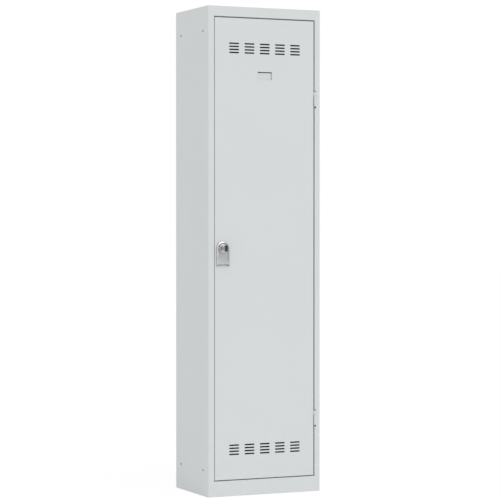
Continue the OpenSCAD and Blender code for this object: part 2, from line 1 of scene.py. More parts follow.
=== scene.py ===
# %% [markdown]
# # A steel locker, dressed for the camera
#
# The locker is a folded sheet-steel cabinet with one door, painted with a pale grey
# powder coat. Its sheets, hinges and lock come from a CAD model, which this script
# loads as a fixed frame. The script gives every sheet its paint, and it makes finer
# versions of the small pieces, because small pieces are where the eye goes: the pull,
# the lock, the key, the hinges, the screws and the hooks.
#
# The door faces -Y, +X is the hinge side, and Z is up. The frame and every mesh are in
# metres. The sizes of small parts are written in millimetres, and MM turns them into metres.

import json
import math

import bmesh
import bpy
from mathutils import Matrix, Vector


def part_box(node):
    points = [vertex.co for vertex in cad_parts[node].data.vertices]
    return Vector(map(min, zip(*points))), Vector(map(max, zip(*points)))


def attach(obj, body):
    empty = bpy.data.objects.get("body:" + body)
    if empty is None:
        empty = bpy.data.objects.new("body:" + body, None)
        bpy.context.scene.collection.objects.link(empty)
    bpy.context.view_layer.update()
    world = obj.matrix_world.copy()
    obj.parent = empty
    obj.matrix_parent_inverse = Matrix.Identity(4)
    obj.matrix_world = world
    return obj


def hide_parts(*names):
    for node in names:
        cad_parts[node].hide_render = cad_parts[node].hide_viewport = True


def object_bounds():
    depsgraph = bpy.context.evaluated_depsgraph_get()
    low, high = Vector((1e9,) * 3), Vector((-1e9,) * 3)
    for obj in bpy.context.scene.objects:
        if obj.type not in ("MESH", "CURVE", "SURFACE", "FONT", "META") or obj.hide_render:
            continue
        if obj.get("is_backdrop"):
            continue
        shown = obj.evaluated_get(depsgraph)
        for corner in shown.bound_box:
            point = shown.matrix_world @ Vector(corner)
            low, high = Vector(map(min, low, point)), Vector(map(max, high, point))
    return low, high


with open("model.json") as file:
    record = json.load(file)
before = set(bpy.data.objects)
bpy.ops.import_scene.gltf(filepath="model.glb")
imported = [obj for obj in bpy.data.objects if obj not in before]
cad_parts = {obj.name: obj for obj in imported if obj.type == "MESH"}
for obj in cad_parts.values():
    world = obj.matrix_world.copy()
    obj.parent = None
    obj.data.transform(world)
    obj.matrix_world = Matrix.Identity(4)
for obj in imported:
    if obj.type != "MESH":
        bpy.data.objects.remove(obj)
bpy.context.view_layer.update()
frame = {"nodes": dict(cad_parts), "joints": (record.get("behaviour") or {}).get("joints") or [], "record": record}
nodes = frame["nodes"]
scene = bpy.context.scene
MM = 0.001

# %% [markdown]
# ## The camera
#
# The view has to be the photographer's, or no comparison means anything. A camera can
# be set by eye, but a box such as a cabinet gives something better: the pixels of its
# six visible corners fix the lens, the turn and the distance. These values come from
# that fit. It is a long lens, so the upright edges stay almost parallel.

# %% Camera
SENSOR = 36.0
PICTURE_PX = 500
FOCAL_PX = 1999.0
CAMERA_AT = (-3.117, -6.866, 1.011)
CAMERA_YAW = -24.49
CAMERA_PITCH = -0.819
NEAREST = 0.1
FARTHEST = 100

camera_data = bpy.data.cameras.new("camera")
camera_data.sensor_width = SENSOR
camera_data.lens = FOCAL_PX * SENSOR / PICTURE_PX
camera_data.clip_start = NEAREST
camera_data.clip_end = FARTHEST
camera = bpy.data.objects.new("camera", camera_data)
camera.location = CAMERA_AT
camera.rotation_euler = (math.radians(90 + CAMERA_PITCH), 0, math.radians(CAMERA_YAW))
scene.collection.objects.link(camera)
scene.camera = camera
scene.view_settings.view_transform = "Standard"

print(f"lens {camera_data.lens:.1f} mm, {camera.location.length:.2f} m from the locker")

# %% [markdown]
# ## The light
#
# The photograph is a studio shot on pure white, with light from all around: the front
# is hardly brighter than the side, and there is no hard shadow. A white world gives
# that even light. One wide, weak light from in front adds the small difference between
# the front and the side. Another from above brightens what faces up, and the bevelled
# rim of the lock's pull mirrors it as a bright arc. They could be soft boxes,
# but sun lamps light the top and the bottom of a tall locker alike. The levels are low
# enough that a colour renders as it is written, so the white of the background doesn't
# come from more light. It comes from what the camera, and a mirror-like metal, sees when
# it looks past the locker.

# %% World and lamps
WORLD_LEVEL = 0.74
BACKGROUND_LEVEL = 1.0
FLOOR_LEVEL = 1.02


def new_node(tree, kind, label=None, **inputs):
    """A shader node with some of its input sockets set by name."""
    node = tree.nodes.new(kind)
    if label:
        node.label = label
    for name, value in inputs.items():
        node.inputs[name.replace("_", " ")].default_value = value
    return node


def seen_directly(tree):
    """1 where the camera, a gloss or a clear piece looks at this surface, else 0."""
    path = new_node(tree, "ShaderNodeLightPath")
    either = new_node(tree, "ShaderNodeMath")
    either.operation = "MAXIMUM"
    tree.links.new(path.outputs["Is Camera Ray"], either.inputs[0])
    tree.links.new(path.outputs["Is Glossy Ray"], either.inputs[1])
    any_of = new_node(tree, "ShaderNodeMath")
    any_of.operation = "MAXIMUM"
    tree.links.new(either.outputs[0], any_of.inputs[0])
    tree.links.new(path.outputs["Is Transmission Ray"], any_of.inputs[1])
    return any_of.outputs[0]


world = bpy.data.worlds.new("studio")
world.use_nodes = True
world.node_tree.nodes.clear()
scene.world = world
tree = world.node_tree
light = new_node(tree, "ShaderNodeBackground", "light on the locker", Strength=WORLD_LEVEL)
white = new_node(tree, "ShaderNodeBackground", "what the camera sees", Strength=BACKGROUND_LEVEL)
for shade in (light, white):
    shade.inputs["Color"].default_value = (1, 1, 1, 1)
choose = new_node(tree, "ShaderNodeMixShader")
out = new_node(tree, "ShaderNodeOutputWorld")
tree.links.new(seen_directly(tree), choose.inputs[0])
tree.links.new(light.outputs[0], choose.inputs[1])
tree.links.new(white.outputs[0], choose.inputs[2])
tree.links.new(choose.outputs[0], out.inputs["Surface"])


def soft_sun(name, travel, strength, width):
    """Light that travels one way, from a part of the sky some degrees wide."""
    data = bpy.data.lights.new(name, "SUN")
    data.energy = strength
    data.angle = math.radians(width)
    lamp = bpy.data.objects.new(name, data)
    lamp.rotation_euler = Vector(travel).to_track_quat("-Z", "Y").to_euler()
    scene.collection.objects.link(lamp)
    return lamp


FRONT_TRAVEL = (-0.15, 1.0, -0.62)
FRONT_STRENGTH = 0.30
FRONT_WIDTH = 40
TOP_TRAVEL = (-0.1, 0.45, -0.88)
TOP_STRENGTH = 0.62
TOP_WIDTH = 55

lights = [
    soft_sun("front_soft_light", FRONT_TRAVEL, FRONT_STRENGTH, FRONT_WIDTH),
    soft_sun("top_soft_light", TOP_TRAVEL, TOP_STRENGTH, TOP_WIDTH),
]
print("world level", WORLD_LEVEL, "and lights of", [round(lamp.data.energy, 2) for lamp in lights])

# %% [markdown]
# ## The floor
#
# A cabinet without a floor floats. The floor is a plain white sheet. Most of what the
# camera sees of it is plain white, as in the photograph, and a small share is the real,
# lit floor, which keeps the soft shadow where the cabinet stands. It lies a hair below
# the cabinet, because two faces in one plane flicker.

# %% Floor
FLOOR_HALF = 30.0
FLOOR_SHADE = 0.12
FLOOR_DROP = 0.5 * MM
PAPER_WHITE = 0.95

floor_mesh = bpy.data.meshes.new("floor")
corners = [(FLOOR_HALF * x, FLOOR_HALF * y, 0) for x, y in ((-1, -1), (1, -1), (1, 1), (-1, 1))]
floor_mesh.from_pydata(corners, [], [(0, 1, 2, 3)])
floor = bpy.data.objects.new("floor", floor_mesh)
floor.location.z = -FLOOR_DROP
scene.collection.objects.link(floor)
floor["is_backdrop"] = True

paper = bpy.data.materials.new("floor_paper")
paper.use_nodes = True
tree = paper.node_tree
tree.nodes.clear()
lit = new_node(tree, "ShaderNodeBsdfDiffuse", "lit paper")
lit.inputs["Color"].default_value = (PAPER_WHITE, PAPER_WHITE, PAPER_WHITE, 1)
plain = new_node(tree, "ShaderNodeEmission", "plain white", Strength=FLOOR_LEVEL)
share = new_node(tree, "ShaderNodeMath", "share of plain white")
share.operation = "MULTIPLY"
share.inputs[1].default_value = 1 - FLOOR_SHADE
mix = new_node(tree, "ShaderNodeMixShader")
out = new_node(tree, "ShaderNodeOutputMaterial")
tree.links.new(seen_directly(tree), share.inputs[0])
tree.links.new(share.outputs[0], mix.inputs[0])
tree.links.new(lit.outputs[0], mix.inputs[1])
tree.links.new(plain.outputs[0], mix.inputs[2])
tree.links.new(mix.outputs[0], out.inputs["Surface"])
floor_mesh.materials.append(paper)

print("floor", 2 * FLOOR_HALF, "m wide, with", FLOOR_SHADE, "of its real light kept")

# %% [markdown]
# ## Effects that materials share
#
# A finish is more than a colour. Powder coat has a fine orange peel, metal has a grain
# from how it was made, and edges look different from faces. Each effect could be built
# again in every material, but then a change has to be made many times. A shader node
# group is built once and takes its sizes through named inputs. The groups give only
# masks and heights, and the shaders stay in the materials.

# %% Node group helpers
FLOAT = "NodeSocketFloat"
VECTOR = "NodeSocketVector"
BROAD = (0.3, 0.7)
CRISP = (0.35, 0.65)


def new_group(name, inputs, outputs):
    """An empty shader node group with named sockets, and its two end nodes."""
    group = bpy.data.node_groups.new(name, "ShaderNodeTree")
    for socket_name, kind, value in inputs:
        socket = group.interface.new_socket(name=socket_name, in_out="INPUT", socket_type=kind)
        socket.default_value = value
    for socket_name, kind in outputs:
        group.interface.new_socket(name=socket_name, in_out="OUTPUT", socket_type=kind)
    return group, group.nodes.new("NodeGroupInput"), group.nodes.new("NodeGroupOutput")


def calc(tree, operation, a, b=None):
    """A Math node whose inputs are numbers or other nodes' outputs."""
    node = tree.nodes.new("ShaderNodeMath")
    node.operation = operation
    for socket, value in zip(node.inputs, (a, b)):
        if isinstance(value, bpy.types.NodeSocket):
            tree.links.new(value, socket)
        elif value is not None:
            socket.default_value = value
    return node.outputs[0]


def stretch(tree, value, low, high, to_low=0.0, to_high=1.0):
    """Maps low..high to to_low..to_high and holds it there."""
    node = new_node(
        tree, "ShaderNodeMapRange", From_Min=low, From_Max=high, To_Min=to_low, To_Max=to_high)
    tree.links.new(value, node.inputs["Value"])
    return node.outputs[0]


def noise(tree, where, scale, detail=2.0, roughness=0.5):
    """A noise from 0 to 1. Scale is lumps in a metre, as a number or an output."""
    node = new_node(tree, "ShaderNodeTexNoise", Detail=detail, Roughness=roughness)
    tree.links.new(where, node.inputs["Vector"])
    if isinstance(scale, bpy.types.NodeSocket):
        tree.links.new(scale, node.inputs["Scale"])
    else:
        node.inputs["Scale"].default_value = scale
    return node.outputs[0]


def place(tree):
    """Where a point is on its own object, so that a finish moves with the door."""
    return tree.nodes.new("ShaderNodeTexCoord").outputs["Object"]


def patchy(tree, where, size, limits=CRISP, detail=4.0):
    """A mask of soft patches, whose size in metres is another node's output."""
    scale = calc(tree, "DIVIDE", 1.0, size)
    return stretch(tree, noise(tree, where, scale, detail=detail), *limits)


# %% Powder coat, as a group
FINER = 3.5
PEEL_SHARE = 0.75
GLOSS_FINER = 5.0


def powder_coat_group():
    """A fine orange peel as a height, and broad clouds for the tone and the gloss."""
    group, given, made = new_group(
        "powder_coat",
        [("Peel Size", FLOAT, 0.0016), ("Cloud Size", FLOAT, 0.35)],
        [("Height", FLOAT), ("Tone", FLOAT), ("Gloss", FLOAT)])
    where = place(group)
    per_metre = calc(group, "DIVIDE", 1.0, given.outputs["Peel Size"])
    peel = noise(group, where, per_metre, detail=1.0)
    fine = noise(group, where, calc(group, "MULTIPLY", per_metre, FINER), detail=1.0)
    coarse_part = calc(group, "MULTIPLY", peel, PEEL_SHARE)
    fine_part = calc(group, "MULTIPLY", fine, 1 - PEEL_SHARE)
    clouds = calc(group, "DIVIDE", 1.0, given.outputs["Cloud Size"])
    tone = noise(group, where, clouds, detail=3.0)
    gloss = noise(group, where, calc(group, "MULTIPLY", clouds, GLOSS_FINER), detail=4.0)
    group.links.new(calc(group, "ADD", coarse_part, fine_part), made.inputs["Height"])
    group.links.new(stretch(group, tone, *BROAD), made.inputs["Tone"])
    group.links.new(stretch(group, gloss, *BROAD), made.inputs["Gloss"])
    return group


# %% Touched edges, as a group
EDGE_SAMPLES = 4
EDGE_TURN = (0.01, 0.2)


def edge_group():
    """Finds convex edges by comparing the true normal with the normal of a rounded edge."""
    group, given, made = new_group(
        "touched_edges",
        [("Edge Width", FLOAT, 0.0005), ("Patch Size", FLOAT, 0.02)],
        [("Mask", FLOAT)])
    rounded = group.nodes.new("ShaderNodeBevel")
    rounded.samples = EDGE_SAMPLES
    group.links.new(given.outputs["Edge Width"], rounded.inputs["Radius"])
    face = group.nodes.new("ShaderNodeNewGeometry")
    same = group.nodes.new("ShaderNodeVectorMath")
    same.operation = "DOT_PRODUCT"
    group.links.new(rounded.outputs["Normal"], same.inputs[0])
    group.links.new(face.outputs["Normal"], same.inputs[1])
    bent = stretch(group, calc(group, "SUBTRACT", 1.0, same.outputs["Value"]), *EDGE_TURN)
    patches = patchy(group, place(group), given.outputs["Patch Size"])
    group.links.new(calc(group, "MULTIPLY", bent, patches), made.inputs["Mask"])
    return group


# %% Painted shade in recesses, as a group
RECESS_SAMPLES = 8
CLOSED_SKY = 0.35
OPEN_SKY = 0.85


def recess_shade_group():
    """1 deep in a groove or behind an edge, else 0: the mask where a metal's colour is darkened as painted shade.
    """
    group, given, made = new_group("recesses", [("Reach", FLOAT, 0.004)], [("Mask", FLOAT)])
    open_sky = group.nodes.new("ShaderNodeAmbientOcclusion")
    open_sky.samples = RECESS_SAMPLES
    group.links.new(given.outputs["Reach"], open_sky.inputs["Distance"])
    closed = stretch(group, open_sky.outputs["AO"], CLOSED_SKY, OPEN_SKY, 1.0, 0.0)
    group.links.new(closed, made.inputs["Mask"])
    return group


# %% Metal grain, as a group
def grain_group():
    """Fine lines or specks as a height, and smudges."""
    group, given, made = new_group(
        "metal_grain",
        [("Lines per Metre", VECTOR, (2000, 2000, 60)), ("Smudge Size", FLOAT, 0.02)],
        [("Height", FLOAT), ("Smudge", FLOAT)])
    where = place(group)
    along = group.nodes.new("ShaderNodeVectorMath")
    along.operation = "MULTIPLY"
    group.links.new(where, along.inputs[0])
    group.links.new(given.outputs["Lines per Metre"], along.inputs[1])
    lines = noise(group, along.outputs["Vector"], 1.0)
    group.links.new(lines, made.inputs["Height"])
    group.links.new(patchy(group, where, given.outputs["Smudge Size"]), made.inputs["Smudge"])
    return group


# %% Moulded skin, as a group
def moulded_group():
    """Small pits as a height, and clouds for the tone."""
    group, given, made = new_group(
        "moulded_skin",
        [("Pit Size", FLOAT, 0.0004), ("Cloud Size", FLOAT, 0.01)],
        [("Height", FLOAT), ("Tone", FLOAT)])
    where = place(group)
    pits = group.nodes.new("ShaderNodeTexVoronoi")
    group.links.new(where, pits.inputs["Vector"])
    group.links.new(calc(group, "DIVIDE", 1.0, given.outputs["Pit Size"]), pits.inputs["Scale"])
    group.links.new(pits.outputs["Distance"], made.inputs["Height"])
    clouds = patchy(group, where, given.outputs["Cloud Size"], detail=3.0)
    group.links.new(clouds, made.inputs["Tone"])
    return group


POWDER_COAT = powder_coat_group()
TOUCHED_EDGES = edge_group()
RECESS_SHADE = recess_shade_group()
METAL_GRAIN = grain_group()
MOULDED_SKIN = moulded_group()
print("node groups:", [group.name for group in bpy.data.node_groups])

# %% [markdown]
# ## The finishes
#
# Every material is one Principled shader. The groups bend its colour, roughness and
# normal by small amounts: a locker is new when it is photographed, so nothing is
# scratched or rusty. The paint's colour is what the photograph shows on the door, as
# the front face is lit at the level where a colour renders as it is written.


# %% Material helper
def apply_group(tree, group, **values):
    """A group node with its inputs set by name."""
    node = tree.nodes.new("ShaderNodeGroup")
    node.node_tree = group
    for name, value in values.items():
        node.inputs[name.replace("_", " ")].default_value = value
    return node


def colour_socket(sockets, name):
    """A Mix node has sockets of one name for each kind of data. This is the one for colours."""
    return next(socket for socket in sockets if socket.name == name and socket.type == "RGBA")


def mix_colour(tree, mask, colour_a, colour_b):
    """Colour a where the mask is 0 and colour b where it is 1."""
    node = tree.nodes.new("ShaderNodeMix")
    node.data_type = "RGBA"
    tree.links.new(mask, node.inputs["Factor"])
    for name, colour in (("A", colour_a), ("B", colour_b)):
        socket = colour_socket(node.inputs, name)
        if isinstance(colour, bpy.types.NodeSocket):
            tree.links.new(colour, socket)
        else:
            socket.default_value = (*colour, 1)
    return colour_socket(node.outputs, "Result")


def bump(tree, height, depth, strength=1.0):
    """A normal from a height, whose full range is depth in metres."""
    node = new_node(tree, "ShaderNodeBump", Strength=strength, Distance=depth)
    tree.links.new(height, node.inputs["Height"])
    return node.outputs["Normal"]


def new_material(name, metallic=0.0, **sockets):
    """A material with one Principled shader, and the tree and shader to build on."""
    material = bpy.data.materials.new(name)
    material.use_nodes = True
    tree = material.node_tree
    shader = tree.nodes["Principled BSDF"]
    shader.inputs["Metallic"].default_value = metallic
    for socket, value in sockets.items():
        shader.inputs[socket.replace("_", " ")].default_value = value
    return material, tree, shader


# %% Paint
PAINT = (0.671, 0.694, 0.699)
PAINT_CLOUD = (0.660, 0.683, 0.689)
PAINT_EDGE = (0.735, 0.750, 0.752)
PAINT_ROUGHNESS = (0.40, 0.48)
PEEL_SIZE = 1.6 * MM
PEEL_DEPTH = 0.03 * MM
PAINT_EDGE_W = 0.6 * MM

paint, tree, shader = new_material("powder_coat_grey", IOR=1.5)
coat = apply_group(tree, POWDER_COAT, Peel_Size=PEEL_SIZE, Cloud_Size=350 * MM)
edges = apply_group(tree, TOUCHED_EDGES, Edge_Width=PAINT_EDGE_W, Patch_Size=30 * MM)
body = mix_colour(tree, coat.outputs["Tone"], PAINT, PAINT_CLOUD)
touched = mix_colour(tree, edges.outputs["Mask"], body, PAINT_EDGE)
rough = stretch(tree, coat.outputs["Gloss"], 0, 1, *PAINT_ROUGHNESS)
tree.links.new(touched, shader.inputs["Base Color"])
tree.links.new(rough, shader.inputs["Roughness"])
tree.links.new(bump(tree, coat.outputs["Height"], PEEL_DEPTH), shader.inputs["Normal"])
print("paint", PAINT)


# %% Metals
EDGE_GAIN = 1.15
ROUGH_SPREAD = 0.05
WORN_EDGE_W = 0.4 * MM
WORN_PATCH = 4 * MM


def metal_material(
        name, colour, smudged, roughness, lines,
        depth=0.01 * MM, recess_shade_share=0.6, smudge=15 * MM, reach=4 * MM):
    """A metal with grain and worn edges, whose colour is darkened in recesses as painted shade."""
    material, tree, shader = new_material(name, metallic=1.0)
    grain = apply_group(tree, METAL_GRAIN, Lines_per_Metre=lines, Smudge_Size=smudge)
    edges = apply_group(tree, TOUCHED_EDGES, Edge_Width=WORN_EDGE_W, Patch_Size=WORN_PATCH)
    body = mix_colour(tree, grain.outputs["Smudge"], colour, smudged)
    bright = [min(1.0, part * EDGE_GAIN) for part in colour]
    worn = mix_colour(tree, edges.outputs["Mask"], body, bright)
    # Painted shade: in grooves and behind edges the colour drops to a share of itself.
    inside = apply_group(tree, RECESS_SHADE, Reach=reach)
    shaded = mix_colour(tree, inside.outputs["Mask"], worn, [part * recess_shade_share for part in colour])
    tree.links.new(shaded, shader.inputs["Base Color"])
    low, high = roughness - ROUGH_SPREAD, roughness + ROUGH_SPREAD
    rough = stretch(tree, grain.outputs["Smudge"], 0, 1, low, high)
    tree.links.new(rough, shader.inputs["Roughness"])
    tree.links.new(bump(tree, grain.outputs["Height"], depth), shader.inputs["Normal"])
    return material


EVEN_GRAIN = (1500, 1500, 1500)
TURNED_GRAIN = (2500, 2500, 2500)
DRAWN_GRAIN = (30, 1800, 1800)
cast_zinc = metal_material(
    "satin_cast_zinc", colour=(0.445, 0.45, 0.455), smudged=(0.415, 0.42, 0.425),
    roughness=0.40, lines=EVEN_GRAIN, recess_shade_share=0.45, reach=12 * MM)
# A brighter zinc for the pull's rim: partly a polished finish, partly a painted highlight on the rim's faces that
# face up or sideways.
polished_and_lit_zinc = metal_material(
    "polished_and_lit_zinc", colour=(0.60, 0.61, 0.61), smudged=(0.55, 0.56, 0.56),
    roughness=0.24, lines=EVEN_GRAIN)
nickel = metal_material(
    "nickel_lock_face", colour=(0.60, 0.60, 0.59), smudged=(0.54, 0.54, 0.53),
    roughness=0.28, lines=TURNED_GRAIN, recess_shade_share=0.75)
plated = metal_material(
    "zinc_plated_steel", colour=(0.60, 0.61, 0.62), smudged=(0.54, 0.55, 0.56),
    roughness=0.34, lines=EVEN_GRAIN)
drawn = metal_material(
    "drawn_steel_tube", colour=(0.62, 0.63, 0.64), smudged=(0.59, 0.60, 0.61),
    roughness=0.30, lines=DRAWN_GRAIN, depth=0.004 * MM, smudge=80 * MM)
print("metals:", cast_zinc.name, polished_and_lit_zinc.name, nickel.name, plated.name, drawn.name)


# %% Plastic and rubber
SKIN_CLOUD = 10 * MM
SKIN_SPREAD = 0.08


def moulded_material(name, colour, cloud, roughness, pit, depth):
    """A plastic or rubber with the fine pits of its mould."""
    material, tree, shader = new_material(name, IOR=1.5)
    skin = apply_group(tree, MOULDED_SKIN, Pit_Size=pit, Cloud_Size=SKIN_CLOUD)
    body = mix_colour(tree, skin.outputs["Tone"], colour, cloud)
    rough = stretch(tree, skin.outputs["Tone"], 0, 1, roughness, roughness + SKIN_SPREAD)
    tree.links.new(body, shader.inputs["Base Color"])
    tree.links.new(rough, shader.inputs["Roughness"])
    tree.links.new(bump(tree, skin.outputs["Height"], depth), shader.inputs["Normal"])
    return material


black_plastic = moulded_material(
    "moulded_black_plastic", colour=(0.016, 0.016, 0.017), cloud=(0.022, 0.022, 0.023),
    roughness=0.42, pit=0.3 * MM, depth=0.02 * MM)
black_rubber = moulded_material(
    "black_rubber", colour=(0.022, 0.022, 0.022), cloud=(0.030, 0.030, 0.030),
    roughness=0.72, pit=0.6 * MM, depth=0.03 * MM)
print("moulded:", black_plastic.name, black_rubber.name)

# %% [markdown]
# ## The painted sheets
#
# The folded sheets of the cabinet and of the door already have their bends, slots and
# holes in the CAD model, so they stay as they are and only get their paint. Making
# them again here could only make them less exact.

# %% Dress the CAD nodes
SLOT_MATERIALS = {
    "paint": paint,
    "zinc": cast_zinc,
    "steel": plated,
    "rubber": black_rubber,
    "black_plastic": black_plastic,
}
slot_of = {part["node"]: part["material_slot"] for part in frame["record"]["subparts"]}


def dress(node, material):
    """Gives a CAD node's object a material, without touching its mesh."""
    for slot in nodes[node].material_slots:
        slot.link = "OBJECT"
        slot.material = material


for name in nodes:
    dress(name, SLOT_MATERIALS[slot_of[name]])
print("dressed", len(nodes), "nodes")

# %% [markdown]
# ## Tools for small parts
#
# The sheets are large and simple, but a lock, a key or a screw is small and round, and
# its CAD solid has sharp edges that no real part has. Each small part is made again in
# the place of its CAD node. Few ways of making cover them all: turned parts are a
# profile spun round an axis, threads and nuts are a skin over rings of points, flat parts
# are an outline with rounded edges, and castings are the CAD form with its edges worn
# soft. A part keeps its place, because its box is taken from the CAD node that it
# stands for.

# %% Where things are
APART = 0.01 * MM
joints = {joint["name"]: joint for joint in frame["joints"]}
LOCK_AT = Vector(joints["lock_turn"]["pos_m"])
LOCK = Matrix.Translation(LOCK_AT) @ Matrix.Rotation(math.radians(90), 4, "X")
SHEET = 0.8
body_of = {
    node: body
    for body, members in frame["record"]["behaviour"]["bodies"].items()
    for node in members
}


def lock_box(node):
    """A node's corners as the lock sees them: x across, y up and z out of the door."""
    low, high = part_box(node)
    return (
        Vector((low.x - LOCK_AT.x, low.z - LOCK_AT.z, LOCK_AT.y - high.y)),
        Vector((high.x - LOCK_AT.x, high.z - LOCK_AT.z, LOCK_AT.y - low.y)),
    )


def at_lock(rings):
    """Rings of points in millimetres, moved to the lock."""
    return [[LOCK @ (Vector(point) * MM) for point in ring] for ring in rings]


def solids(node):
    """The corners of each separate solid of a node, lowest first."""
    bm = bmesh.new()
    bm.from_mesh(nodes[node].data)
    bmesh.ops.remove_doubles(bm, verts=bm.verts, dist=APART)
    left = set(bm.verts)
    boxes = []
    while left:
        reached = [left.pop()]
        for vert in reached:
            for edge in vert.link_edges:
                other = edge.other_vert(vert)
                if other in left:
                    left.remove(other)
                    reached.append(other)
        low = Vector(min(vert.co[axis] for vert in reached) for axis in range(3))
        high = Vector(max(vert.co[axis] for vert in reached) for axis in range(3))
        boxes.append((low, high))
    bm.free()
    return sorted(boxes, key=lambda box: (round(box[0].z, 4), box[0].x, box[0].y))


print("the lock's middle is at", [round(v, 4) for v in LOCK_AT])


# %% From a mesh to a piece
SAME_POINT = 0.002 * MM
CREASE = 40
CAST_CREASE = 60


def as_piece(name, mesh, material, node=None, body=None, crease=CREASE):
    """Makes an object of a mesh. It takes a CAD node's place, or rides on a body by itself."""
    mesh.name = name
    mesh.materials.clear()
    mesh.materials.append(material)
    mesh.shade_smooth()
    mesh.set_sharp_from_angle(angle=math.radians(crease))
    piece = bpy.data.objects.new(name, mesh)
    scene.collection.objects.link(piece)
    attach(piece, body or body_of[node])
    if node:
        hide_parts(node)
    print(f"{name}: {len(mesh.polygons)} faces")
    return piece


def mesh_of(bm):
    """Closes a bmesh, with its normals turned outwards, into a mesh."""
    bmesh.ops.remove_doubles(bm, verts=bm.verts, dist=SAME_POINT)
    bmesh.ops.recalc_face_normals(bm, faces=bm.faces)
    mesh = bpy.data.meshes.new("part")
    bm.to_mesh(mesh)
    bm.free()
    return mesh


def final_mesh(holder):
    """What an object's modifiers or its curve make of it, as a mesh. The object goes."""
    seen = holder.evaluated_get(bpy.context.evaluated_depsgraph_get())
    made = bpy.data.meshes.new_from_object(seen)
    bpy.data.objects.remove(holder)
    return made


def baked(mesh, *modifiers):
    """A mesh after modifiers, each a kind and its settings."""
    holder = bpy.data.objects.new("holder", mesh)
    scene.collection.objects.link(holder)
    for kind, settings in modifiers:
        modifier = holder.modifiers.new(kind.lower(), kind)
        for key, value in settings.items():
            setattr(modifier, key, value)
    return final_mesh(holder)


def joined(*meshes):
    """Several meshes as one."""
    bm = bmesh.new()
    for mesh in meshes:
        bm.from_mesh(mesh)
    return mesh_of(bm)


def cut(mesh, *cutters):
    """A mesh less the cutters."""
    for cutter in cutters:
        tool = bpy.data.objects.new("cutter", cutter)
        scene.collection.objects.link(tool)
        how = {"object": tool, "operation": "DIFFERENCE", "solver": "EXACT"}
        mesh = baked(mesh, ("BOOLEAN", how))
        bpy.data.objects.remove(tool)
    return mesh


# %% Turned parts
AXIS = 0.01
EASE = 0.5
EASE_STEPS = 4
EASE_SHARE = 0.45
CUT_EDGE = 0.05
TURN_STEPS = 48
ROUND_STEPS = 32


def loft(rings, closed=False):
    """A skin over rings with the same number of points, capped at both ends or closed on itself."""
    bm = bmesh.new()
    rows = [[bm.verts.new(point) for point in ring] for ring in rings]
    for one, other in zip(rows, rows[1:] + (rows[:1] if closed else [])):
        for i in range(len(one)):
            j = (i + 1) % len(one)
            bm.faces.new((one[i], one[j], other[j], other[i]))
    if not closed:
        bm.faces.new(rows[0])
        bm.faces.new(rows[-1])
    return mesh_of(bm)


def turned(profile, matrix, steps=TURN_STEPS, closed=False):
    """A profile of (radius, height) points in millimetres, spun round the z axis of a matrix."""
    turns = [2 * math.pi * i / steps for i in range(steps)]
    rings = [
        [matrix @ Vector((r * math.cos(a) * MM, r * math.sin(a) * MM, z * MM)) for a in turns]
        for r, z in profile
    ]
    return loft(rings, closed)


def eased(points, radius, closed=False, steps=EASE_STEPS):
    """A line of 2-D points with its corners rounded, by less where two corners are close."""
    line = [Vector(point) for point in points]
    made = []
    for i, here in enumerate(line):
        if not closed and i in (0, len(line) - 1):
            made.append(here)
            continue
        before = line[i - 1] - here
        after = line[(i + 1) % len(line)] - here
        start = here + before.normalized() * min(radius, before.length * EASE_SHARE)
        end = here + after.normalized() * min(radius, after.length * EASE_SHARE)
        for k in range(steps + 1):
            t = k / steps
            made.append(start.lerp(here, t).lerp(here.lerp(end, t), t))
    return made


# %% Flat parts
CIRCLE_STEPS = 40
EDGE_RINGS = 2


def circle(radius, x=0.0, y=0.0, steps=CIRCLE_STEPS):
    """Points round a circle, as an outline."""
    turns = [2 * math.pi * i / steps for i in range(steps)]
    return [(x + radius * math.cos(a), y + radius * math.sin(a)) for a in turns]


def plate(outlines, low, high, edge, matrix):
    """A flat part between two heights, with rounded edges. Outlines after the first are holes."""
    curve = bpy.data.curves.new("outline", "CURVE")
    curve.dimensions = "2D"
    curve.fill_mode = "BOTH"
    curve.extrude = (high - low) / 2 - edge
    curve.bevel_depth = edge
    curve.bevel_resolution = EDGE_RINGS
    curve.offset = -edge
    for outline in outlines:
        spline = curve.splines.new("POLY")
        spline.points.add(len(outline) - 1)
        for point, (x, y) in zip(spline.points, outline):
            point.co = (x, y, 0, 1)
        spline.use_cyclic_u = True
    holder = bpy.data.objects.new("outline", curve)
    scene.collection.objects.link(holder)
    mesh = final_mesh(holder)
    mesh.transform(matrix @ Matrix.Scale(MM, 4) @ Matrix.Translation((0, 0, (low + high) / 2)))
    return joined(mesh)


# %% Castings
FINE_GRID = 0.4
GRID = 0.45
COARSE_GRID = 0.5
SOFTEN = 0.5
KEPT_HALF = 0.5
KEPT_THIRD = 0.3


def cast(node, grid, passes, keep=KEPT_HALF):
    """A CAD node's form with soft edges: a fine even grid over it, smoothed and thinned out."""
    return baked(
        joined(nodes[node].data),
        ("REMESH", {"mode": "VOXEL", "voxel_size": grid * MM}),
        ("SMOOTH", {"factor": SOFTEN, "iterations": passes}),
        ("DECIMATE", {"ratio": keep}),
    )


# %% [markdown]
# ## The pull
#
# On the real door the lock sits in a die-cast zinc pull: a rim, a dish with the lock in
# it, and a floor that sweeps out to a lip for the fingers. Sculpting it would lose its
# measured shape, and bevelling its edges fails where the sweep meets the dish. So the
# CAD form is remeshed on a fine grid and smoothed a little, which rounds every edge by
# the same small amount, as a worn die does.

# %% Pull
RIM_W = 6.0
FACES_BACK = 0.5
SHADED_FACING_DOWN = -0.3

low, high = lock_box("lock_pull")
casting = cast("lock_pull", COARSE_GRID, passes=5)
pull = as_piece("pull_casting", casting, cast_zinc, "lock_pull", crease=CAST_CREASE)
pull.data.materials.append(polished_and_lit_zinc)
dish_r = high.x - RIM_W * MM
